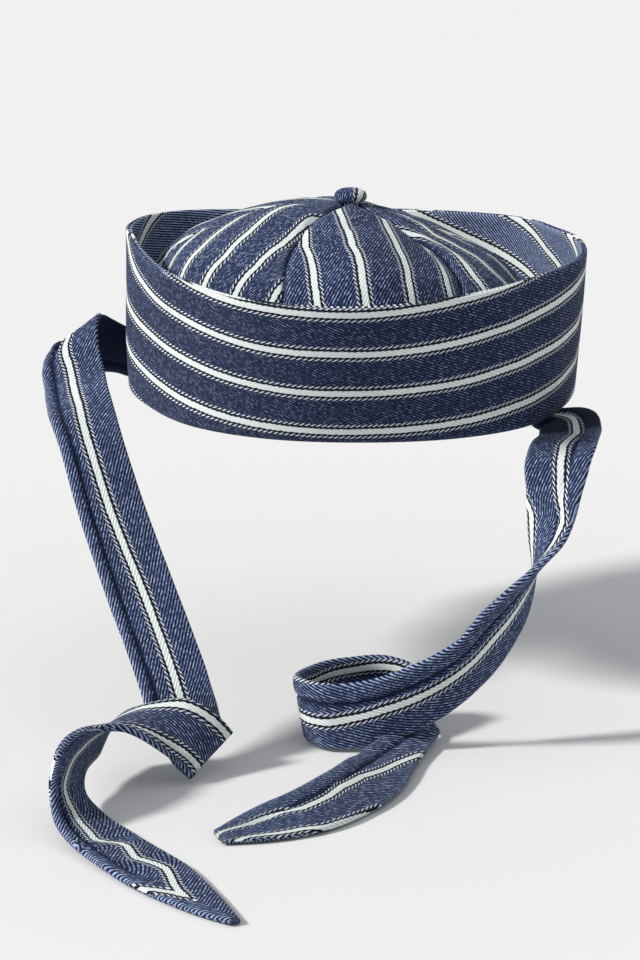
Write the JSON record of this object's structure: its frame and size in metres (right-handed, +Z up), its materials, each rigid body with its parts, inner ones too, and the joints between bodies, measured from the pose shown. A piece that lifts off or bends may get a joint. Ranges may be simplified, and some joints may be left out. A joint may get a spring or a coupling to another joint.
{
  "type": "sailor cap with ties",
  "caption": "Soft cloth sailor cap: a low domed crown of gores with a covered button, a deep turned-up cuff and a pair of long flat ties.",
  "frame": {"origin": "centre of the head opening, level with the cap's lower edge", "axes": "+Z up through the crown, -Y to the front, +X to the side seen on the right from the front"},
  "size_m": [0.2382, 0.4149, 0.2086],
  "materials": {
    "striped_denim": "navy twill denim with woven off-white stripes, matte"
  },
  "bodies": {
    "root": {"crown_gore_1": "striped_denim", "crown_gore_2": "striped_denim", "crown_gore_3": "striped_denim", "crown_gore_4": "striped_denim", "crown_gore_5": "striped_denim", "crown_gore_6": "striped_denim", "crown_button": "striped_denim", "cuff_outer": "striped_denim", "cuff_facing": "striped_denim", "tie_left": "striped_denim", "tie_right": "striped_denim"}
  },
  "joints": []
}
